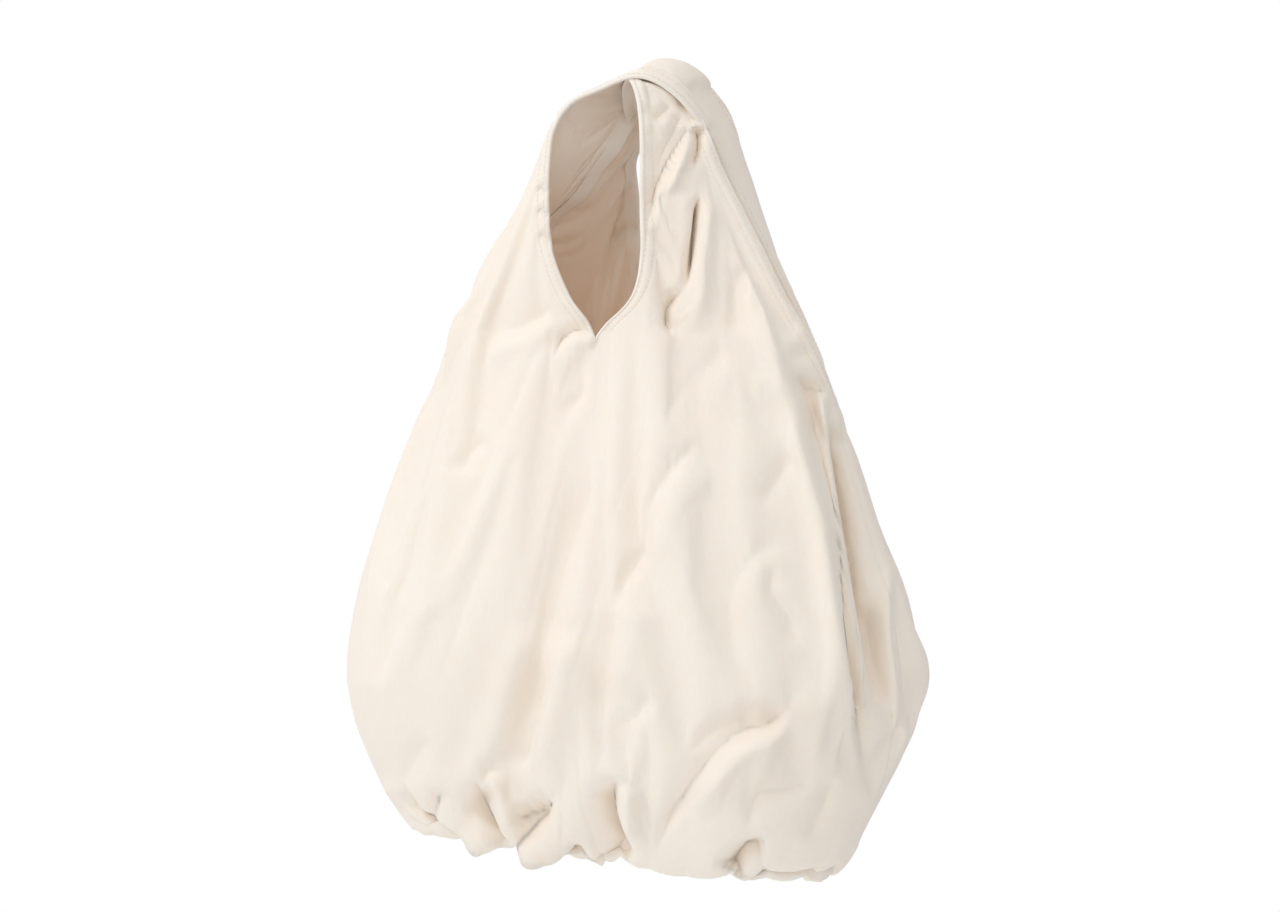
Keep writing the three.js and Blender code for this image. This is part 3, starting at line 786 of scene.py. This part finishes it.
def wall_piece(name, points, faces, thickness, normals=None):
    """A closed wall of cloth around a sheet, as one object."""
    shared = normals is not None
    if not shared:
        normals = sheet_normals(points, faces)
    count = len(points)
    both = np.vstack([points + normals * thickness / 2, points - normals * thickness / 2]) * MM
    both[:, 2] -= HANG_HEIGHT * MM
    sides = np.vstack([faces[:, [k, (k + 1) % 4]] for k in range(4)])
    sides = sides[sides[:, 0] != sides[:, 1]]
    code = sides[:, 0] * (count + 1) + sides[:, 1]
    back_code = sides[:, 1] * (count + 1) + sides[:, 0]
    rim = sides[~np.isin(code, back_code)]
    rim_faces = np.stack([rim[:, 1], rim[:, 0], rim[:, 0] + count, rim[:, 1] + count], 1)
    quads = np.vstack([faces, faces[:, ::-1] + count, rim_faces])
    mesh = bpy.data.meshes.new(name)
    mesh.from_pydata(both.tolist(), [], [list(dict.fromkeys(q)) for q in quads.tolist()])
    mesh.validate()
    mesh.update()
    mesh.shade_smooth()
    ends = np.empty(2 * len(mesh.edges), int)
    mesh.edges.foreach_get("vertices", ends)
    ends = ends.reshape(-1, 2)
    wanted = np.sort(np.vstack([rim, rim + count]), axis=1)
    edge_code = np.sort(ends, axis=1) @ np.array([2 * count, 1])
    crisp = np.isin(edge_code, wanted @ np.array([2 * count, 1]))
    mesh.attributes.new("sharp_edge", "BOOLEAN", "EDGE").data.foreach_set("value", crisp)
    if shared:
        mesh.normals_split_custom_set_from_vertices(np.vstack([normals, -normals]).tolist())
    piece = bpy.data.objects.new(name, mesh)
    bpy.context.collection.objects.link(piece)
    return piece


def fill(node, sockets):
    for socket, value in sockets.items():
        node.inputs[socket].default_value = value


def cotton(name, light, dark, roughness=0.88, scatter=0.2):
    """Plain-woven cotton: crossed threads 0.9 mm apart, slubs, soft creases and uneven colour."""
    material = bpy.data.materials.new(name)
    material.use_nodes = True
    nodes, links = material.node_tree.nodes, material.node_tree.links
    shader = nodes["Principled BSDF"]
    fill(shader, {
        "Roughness": roughness, "Specular IOR Level": 0.25, "Sheen Weight": 0.18,
        "Sheen Roughness": 0.5, "Subsurface Weight": scatter,
        "Subsurface Radius": (1.0, 0.62, 0.38), "Subsurface Scale": 0.002,
    })
    place = nodes.new("ShaderNodeTexCoord")

    def noise(scale, detail, stretch=(1, 1, 1)):
        turn = nodes.new("ShaderNodeMapping")
        fill(turn, {"Scale": stretch})
        links.new(place.outputs["Object"], turn.inputs["Vector"])
        texture = nodes.new("ShaderNodeTexNoise")
        fill(texture, {"Scale": scale, "Detail": detail})
        links.new(turn.outputs["Vector"], texture.inputs["Vector"])
        return texture.outputs["Fac"]

    def threads(direction):
        wave = nodes.new("ShaderNodeTexWave")
        wave.bands_direction = direction
        fill(wave, {"Scale": 350, "Distortion": 1.2, "Detail": 1})
        links.new(place.outputs["Object"], wave.inputs["Vector"])
        return wave.outputs["Fac"]

    def combine(kind, a, b):
        node = nodes.new("ShaderNodeMath")
        node.operation = kind
        for socket, value in zip(node.inputs, (a, b)):
            if isinstance(value, float):
                socket.default_value = value
            else:
                links.new(value, socket)
        return node.outputs["Value"]

    weave = combine("MULTIPLY", combine("ADD", threads("X"), threads("Y")), threads("Z"))
    creases = noise(scale=38, detail=4, stretch=(1, 1, 0.35))
    clouds = noise(scale=9, detail=3)
    slubs = noise(scale=420, detail=2, stretch=(1, 1, 0.2))
    tone = combine("ADD", combine("MULTIPLY", clouds, 0.6), combine("MULTIPLY", slubs, 0.4))
    ramp = nodes.new("ShaderNodeValToRGB")
    ramp.color_ramp.elements[0].position = 0.32
    ramp.color_ramp.elements[0].color = (*dark, 1)
    ramp.color_ramp.elements[1].position = 0.68
    ramp.color_ramp.elements[1].color = (*light, 1)
    links.new(tone, ramp.inputs["Fac"])
    links.new(ramp.outputs["Color"], shader.inputs["Base Color"])
    fine = nodes.new("ShaderNodeBump")
    fill(fine, {"Strength": 0.35, "Distance": 0.00012})
    links.new(weave, fine.inputs["Height"])
    soft = nodes.new("ShaderNodeBump")
    fill(soft, {"Strength": 0.5, "Distance": 0.0016})
    links.new(creases, soft.inputs["Height"])
    links.new(fine.outputs["Normal"], soft.inputs["Normal"])
    links.new(soft.outputs["Normal"], shader.inputs["Normal"])
    return material


cream = cotton("cream_cotton", (0.925, 0.85, 0.757), (0.905, 0.812, 0.708))


def dress(piece, material, slot, *nodes):
    """Gives a piece its cloth and puts it on the bag in the place of plain solids."""
    piece.data.materials.append(material)
    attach(piece, "root")
    if nodes:
        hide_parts(*nodes)


whole_points, whole_faces, ids = sheet_of([(cloth[n]["points"], OUTWARD[n] < 0) for n in cloth])
whole_normals = sheet_normals(whole_points, whole_faces)[ids]
first = 0
for part in cloth.values():
    rows, columns = part["points"].shape[:2]
    part["normals"] = whole_normals[first: first + rows * columns].reshape(rows, columns, 3)
    first += rows * columns


def cloth_piece(name, *parts):
    """Parts of the bag's cloth as one piece, with the normals of the whole bag, so that no edge
    shows where two pieces meet."""
    points, faces, ids = sheet_of([(cloth[n]["points"], OUTWARD[n] < 0) for n in parts])
    normals = np.empty_like(points)
    normals[ids] = np.vstack([cloth[n]["normals"].reshape(-1, 3) for n in parts])
    return wall_piece(name, points, faces, CLOTH, normals)


front_panel = cloth_piece("front_panel_cloth", "left_front", "right_front")
dress(front_panel, cream, "cream_cotton", "front_panel")


# Back panel: the rear wall with its two legs, cut like the front one from the same cotton.
# The side seams join it to the front below the side openings, so both share one line there.
back_panel = cloth_piece("back_panel_cloth", "left_back", "right_back")
dress(back_panel, cream, "cream_cotton", "back_panel")


# Base panel: the small oval bottom, a single layer of the same cotton, coloured darker and browner than the
# walls as painted shade for the shadow under the bag.
# The walls are gathered and sewn round it, so its rim follows their lower edge, and it sags.
BASE_SAG = 6
BASE_INSET = 1.2
BASE_RINGS = 26
BASE_WRINKLE = 0.8
BASE_WRINKLE_WIDTH = 7
base_loop = np.vstack([
    cloth["left_front"]["points"][0, ::-1][:-1],
    cloth["right_front"]["points"][0][:-1],
    cloth["right_back"]["points"][0, ::-1][:-1],
    cloth["left_back"]["points"][0][:-1],
])
base_middle = base_loop.mean(0)
out = np.linspace(1, 0, BASE_RINGS)[:, None]
reach = (base_loop - base_middle)[None]
size = np.linalg.norm(reach, axis=2, keepdims=True)
base_rings = base_middle + reach * (size - BASE_INSET) / size * out[..., None]
base_rings[..., 2] -= BASE_SAG * (1 - out**2)
wrinkles = BASE_WRINKLE * np.sin(base_rings[..., 0] / BASE_WRINKLE_WIDTH)
base_rings[..., 2] += wrinkles * out**2 * (1 - out) * 4
base_rings = np.concatenate([base_rings, base_rings[:, :1]], 1)
base_points, base_faces, _ = sheet_of([(base_rings, False)])
base_panel = wall_piece("base_panel_cloth", base_points, base_faces, CLOTH)
# Painted shade: the base's cotton is coloured darker and browner than the walls' for the shadow it lies in
base_cotton = cotton("base_cotton", (0.80, 0.70, 0.58), (0.74, 0.63, 0.51), roughness=0.92)
dress(base_panel, base_cotton, "base_cotton", "base_panel")


# Handle bands: each joins two legs over the crown, and the two are sewn together where they cross.
# The outer band lies on top and the inner one runs under it, both of the walls' cotton.
outer_band = cloth_piece("outer_handle_cloth", "outer")
dress(outer_band, cream, "cream_cotton", "outer_handle_band")
inner_band = cloth_piece("inner_handle_cloth", "inner")
dress(inner_band, cream, "cream_cotton", "inner_handle_band")


# Hems: the edges of all four legs and both bands are turned in and topstitched, 9 mm wide.
# Each hem runs up the front leg, over the crown and down the back leg, and rolls round the edge.
HEM_CLOTH = 0.9
COLUMNS_INTO_CLOTH = 6
SMOOTHING_ROUNDS = 3
# Across a hem, from its inner fold round the edge: distance into the cloth and height over it
hem_profile = [
    (9.0, -1.5), (6.0, -1.6), (3.0, -1.6), (0.8, -1.5), (-0.5, -1.1), (-1.0, -0.3), (-0.8, 0.5),
    (-0.1, 1.0), (0.9, 1.15),
]
# Each hem: the band that it runs along, at which edge of it, and its length in metres
HEMS = {
    "outer_band_front_hem": ("outer", 1, 0.526),
    "outer_band_back_hem": ("outer", 2, 0.504),
    "inner_band_front_hem": ("inner", 1, 0.511),
    "inner_band_back_hem": ("inner", 2, 0.494),
}
hem_cotton = cotton("hem_cotton", (0.93, 0.855, 0.77), (0.91, 0.82, 0.725), scatter=0.2)


def hem_parts(band, edge, skip=0):
    """The front leg, band and back leg along a hem: name, whether the hem is at its first column,
    its rows from the opening on without the skipped ones, and the direction of the rows."""
    front_leg, back_leg = LEGS[band]
    for name, at_first, way in ((front_leg, edge == 1, 1), (band, edge == 1, 1), (back_leg, edge == 2, -1)):
        rows = slice((mouth_row if at_first else armhole_row) + skip, None)
        yield name, at_first, slice(1, -1) if name == band else rows, way


def edge_run(band, edge):
    """Edge points, directions into the cloth and directions out of it, along one whole hem."""
    runs = []
    for name, at_first, rows, way in hem_parts(band, edge):
        grid = cloth[name]["points"]
        normals = across_normals(grid) * OUTWARD[name]
        column, beside = (0, COLUMNS_INTO_CLOTH) if at_first else (-1, -1 - COLUMNS_INTO_CLOTH)
        run = grid[rows, column], grid[rows, beside] - grid[rows, column], normals[rows, column]
        runs.append([x[::way] for x in run])
    here, into, out = (np.vstack(x) for x in zip(*runs))
    into = unit(into)
    for _ in range(SMOOTHING_ROUNDS):
        into[1:-1] = (into[:-2] + into[1:-1] + into[2:]) / 3
        out[1:-1] = (out[:-2] + out[1:-1] + out[2:]) / 3
    into = unit(into)
    return here, into, unit(out - into * np.sum(out * into, axis=1, keepdims=True))


for node, (band, edge, _) in HEMS.items():
    here, into, out = edge_run(band, edge)
    strip = np.stack([here + into * d + out * n for d, n in hem_profile], 1)
    hem_points, hem_faces, _ = sheet_of([(strip, (edge == 1) == (band == "outer"))])
    hem = wall_piece(node + "_cloth", hem_points, hem_faces, HEM_CLOTH)
    dress(hem, hem_cotton, "hem_cotton", node)


# Topstitching: two rows of cream thread along every hem, 2.2 mm and 7.6 mm from the edge.
# Each stitch is a short round thread that lies in the cloth, and all of them are one mesh.
STITCH_LENGTH = 2.7
STITCH_PITCH = 3.7
FIRST_STITCH = 1.0
ROWS_WITHOUT_STITCHES = 3
THREAD = 0.27
SIDES_OF_THREAD = 6
# Rings of one stitch: share of its length, share of the thread's radius, height over the cloth
stitch = table(
    "along girth height",
    (0, 0.35, -0.1),
    (0.16, 1, 0.12),
    (0.84, 1, 0.12),
    (1, 0.35, -0.1),
)


def thread_line(band, edge, distance):
    """Points and outward directions along one hem, at a distance from its edge."""
    points, normals = [], []
    columns = distance / (HEM_ZONE / HEM_COLUMNS)
    k, share = int(columns), columns % 1
    for name, at_first, rows, way in hem_parts(band, edge, ROWS_WITHOUT_STITCHES):
        part = cloth[name]
        near, far = (k, k + 1) if at_first else (-1 - k, -2 - k)
        line = part["points"][rows, near] * (1 - share) + part["points"][rows, far] * share
        points.append(line[::way])
        normals.append(part["normals"][rows, near][::way])
    return np.vstack(points), np.vstack(normals)


stitch_points, stitch_faces = [], []
angles = np.arange(SIDES_OF_THREAD)[None, :, None] * 2 * math.pi / SIDES_OF_THREAD
girth = THREAD * stitch["girth"][:, None, None]
lift = CLOTH / 2 + stitch["height"][:, None]
rows_of_stitches = [
    thread_line(band, edge, distance)
    for band, edge, _ in HEMS.values() for distance, _, _ in reversed(STITCH_LINES)
]
for line, outward in rows_of_stitches:
    run = run_along(line)
    for start in np.arange(FIRST_STITCH, run[-1] - STITCH_LENGTH, STITCH_PITCH):
        at = start + STITCH_LENGTH * stitch["along"]
        centres = np.stack([np.interp(at, run, line[:, a]) for a in range(3)], 1)
        up = unit(np.stack([np.interp(at, run, outward[:, a]) for a in range(3)], 1))
        beside = unit(np.cross(up, unit(centres[-1] - centres[0])))
        ring = np.cos(angles) * beside[:, None] + np.sin(angles) * up[:, None]
        tube = (centres + up * lift)[:, None] + ring * girth
        first = len(stitch_points) * len(at) * SIDES_OF_THREAD
        stitch_points.append(tube.reshape(-1, 3))
        for r in range(len(at) - 1):
            for c in range(SIDES_OF_THREAD):
                a = first + r * SIDES_OF_THREAD + c
                b = first + r * SIDES_OF_THREAD + (c + 1) % SIDES_OF_THREAD
                stitch_faces.append([a, b, b + SIDES_OF_THREAD, a + SIDES_OF_THREAD])
        last = first + (len(at) - 1) * SIDES_OF_THREAD
        stitch_faces.append([first + c for c in reversed(range(SIDES_OF_THREAD))])
        stitch_faces.append([last + c for c in range(SIDES_OF_THREAD)])
stitches = np.vstack(stitch_points) * MM
stitches[:, 2] -= HANG_HEIGHT * MM
stitch_mesh = bpy.data.meshes.new("topstitching")
stitch_mesh.from_pydata(stitches.tolist(), [], stitch_faces)
stitch_mesh.validate()
stitch_mesh.shade_smooth()
topstitching = bpy.data.objects.new("topstitching", stitch_mesh)
bpy.context.collection.objects.link(topstitching)
thread_cotton = cotton("cotton_thread", (0.92, 0.82, 0.71), (0.86, 0.75, 0.63), roughness=0.7, scatter=0)
dress(topstitching, thread_cotton, "hem_cotton")


# Floor, lights and camera: a white studio that lights the bag from all round, most from the upper
# left, one soft light from there, and the camera a little above the middle of the bag.
white_floor = bpy.data.materials.new("white_floor")
white_floor.use_nodes = True
fill(white_floor.node_tree.nodes["Principled BSDF"], {
    "Base Color": (1, 1, 1, 1), "Roughness": 1,
    "Emission Color": (1, 1, 1, 1), "Emission Strength": 0.1,
})
bpy.ops.mesh.primitive_plane_add(size=2.2, location=(0, 0, -1.6))
floor = bpy.context.object
floor.name = "floor"
floor.data.materials.append(white_floor)

# The camera sees plain white. The bag is lit by walls that are brighter towards the upper left
# in front and dimmer towards the lower right behind.
world = bpy.data.worlds.new("studio")
world.use_nodes = True
room = world.node_tree.nodes
room_links = world.node_tree.links
walls = room["Background"]
direction = room.new("ShaderNodeTexCoord")
lean = room.new("ShaderNodeVectorMath")
lean.operation = "DOT_PRODUCT"
lean.inputs[1].default_value = (-0.25, -0.67, 0.70)
brightness = room.new("ShaderNodeMapRange")
fill(brightness, {"From Min": -1, "From Max": 1, "To Min": 0.38, "To Max": 1.07})
room_links.new(direction.outputs["Generated"], lean.inputs[0])
room_links.new(lean.outputs["Value"], brightness.inputs["Value"])
room_links.new(brightness.outputs["Result"], walls.inputs["Strength"])
white = room.new("ShaderNodeBackground")
fill(white, {"Color": (1, 1, 1, 1), "Strength": 1})
fill(walls, {"Color": (1, 1, 1.01, 1)})
path = room.new("ShaderNodeLightPath")
choose = room.new("ShaderNodeMixShader")
room_links.new(path.outputs["Is Camera Ray"], choose.inputs[0])
room_links.new(walls.outputs["Background"], choose.inputs[1])
room_links.new(white.outputs["Background"], choose.inputs[2])
room_links.new(choose.outputs["Shader"], room["World Output"].inputs["Surface"])
bpy.context.scene.world = world
bpy.context.scene.view_settings.view_transform = "Standard"


def soft_light(name, azimuth, elevation, distance, width, watts):
    """A square light that looks at the middle of the bag."""
    a, e = math.radians(azimuth), math.radians(elevation)
    away = Vector((math.sin(a) * math.cos(e), -math.cos(a) * math.cos(e), math.sin(e)))
    centre = Vector((0, 0, -0.28))
    data = bpy.data.lights.new(name, "AREA")
    data.size = width
    data.energy = watts
    light = bpy.data.objects.new(name, data)
    light.location = centre + away * distance
    light.rotation_euler = away.to_track_quat("Z", "Y").to_euler()
    bpy.context.collection.objects.link(light)


soft_light("key", azimuth=-34, elevation=38, distance=2.6, width=0.9, watts=10)

# Light that comes through the thin cloth into the bag and is warmed by it
through = bpy.data.lights.new("through_cloth", "POINT")
through.energy = 0.07
through.shadow_soft_size = 0.06
through.color = (1, 0.55, 0.3)
inside = bpy.data.objects.new("through_cloth", through)
inside.location = (0, 0, -0.24)
inside.visible_camera = False
bpy.context.collection.objects.link(inside)

camera_data = bpy.data.cameras.new("camera")
camera_data.sensor_width = 36
camera_data.lens = camera_data.sensor_width * SEEN_DISTANCE / (SHEET_WIDTH * UNIT)
camera_data.clip_end = 100
camera = bpy.data.objects.new("camera", camera_data)
eye = (SEEN_CENTRE + towards_eye * SEEN_DISTANCE) * MM
camera.location = (eye[0], eye[1], eye[2] - HANG_HEIGHT * MM)
camera.rotation_euler = (math.pi / 2 - SEEN_FROM_ABOVE, 0, SEEN_FROM)
bpy.context.collection.objects.link(camera)
bpy.context.scene.camera = camera
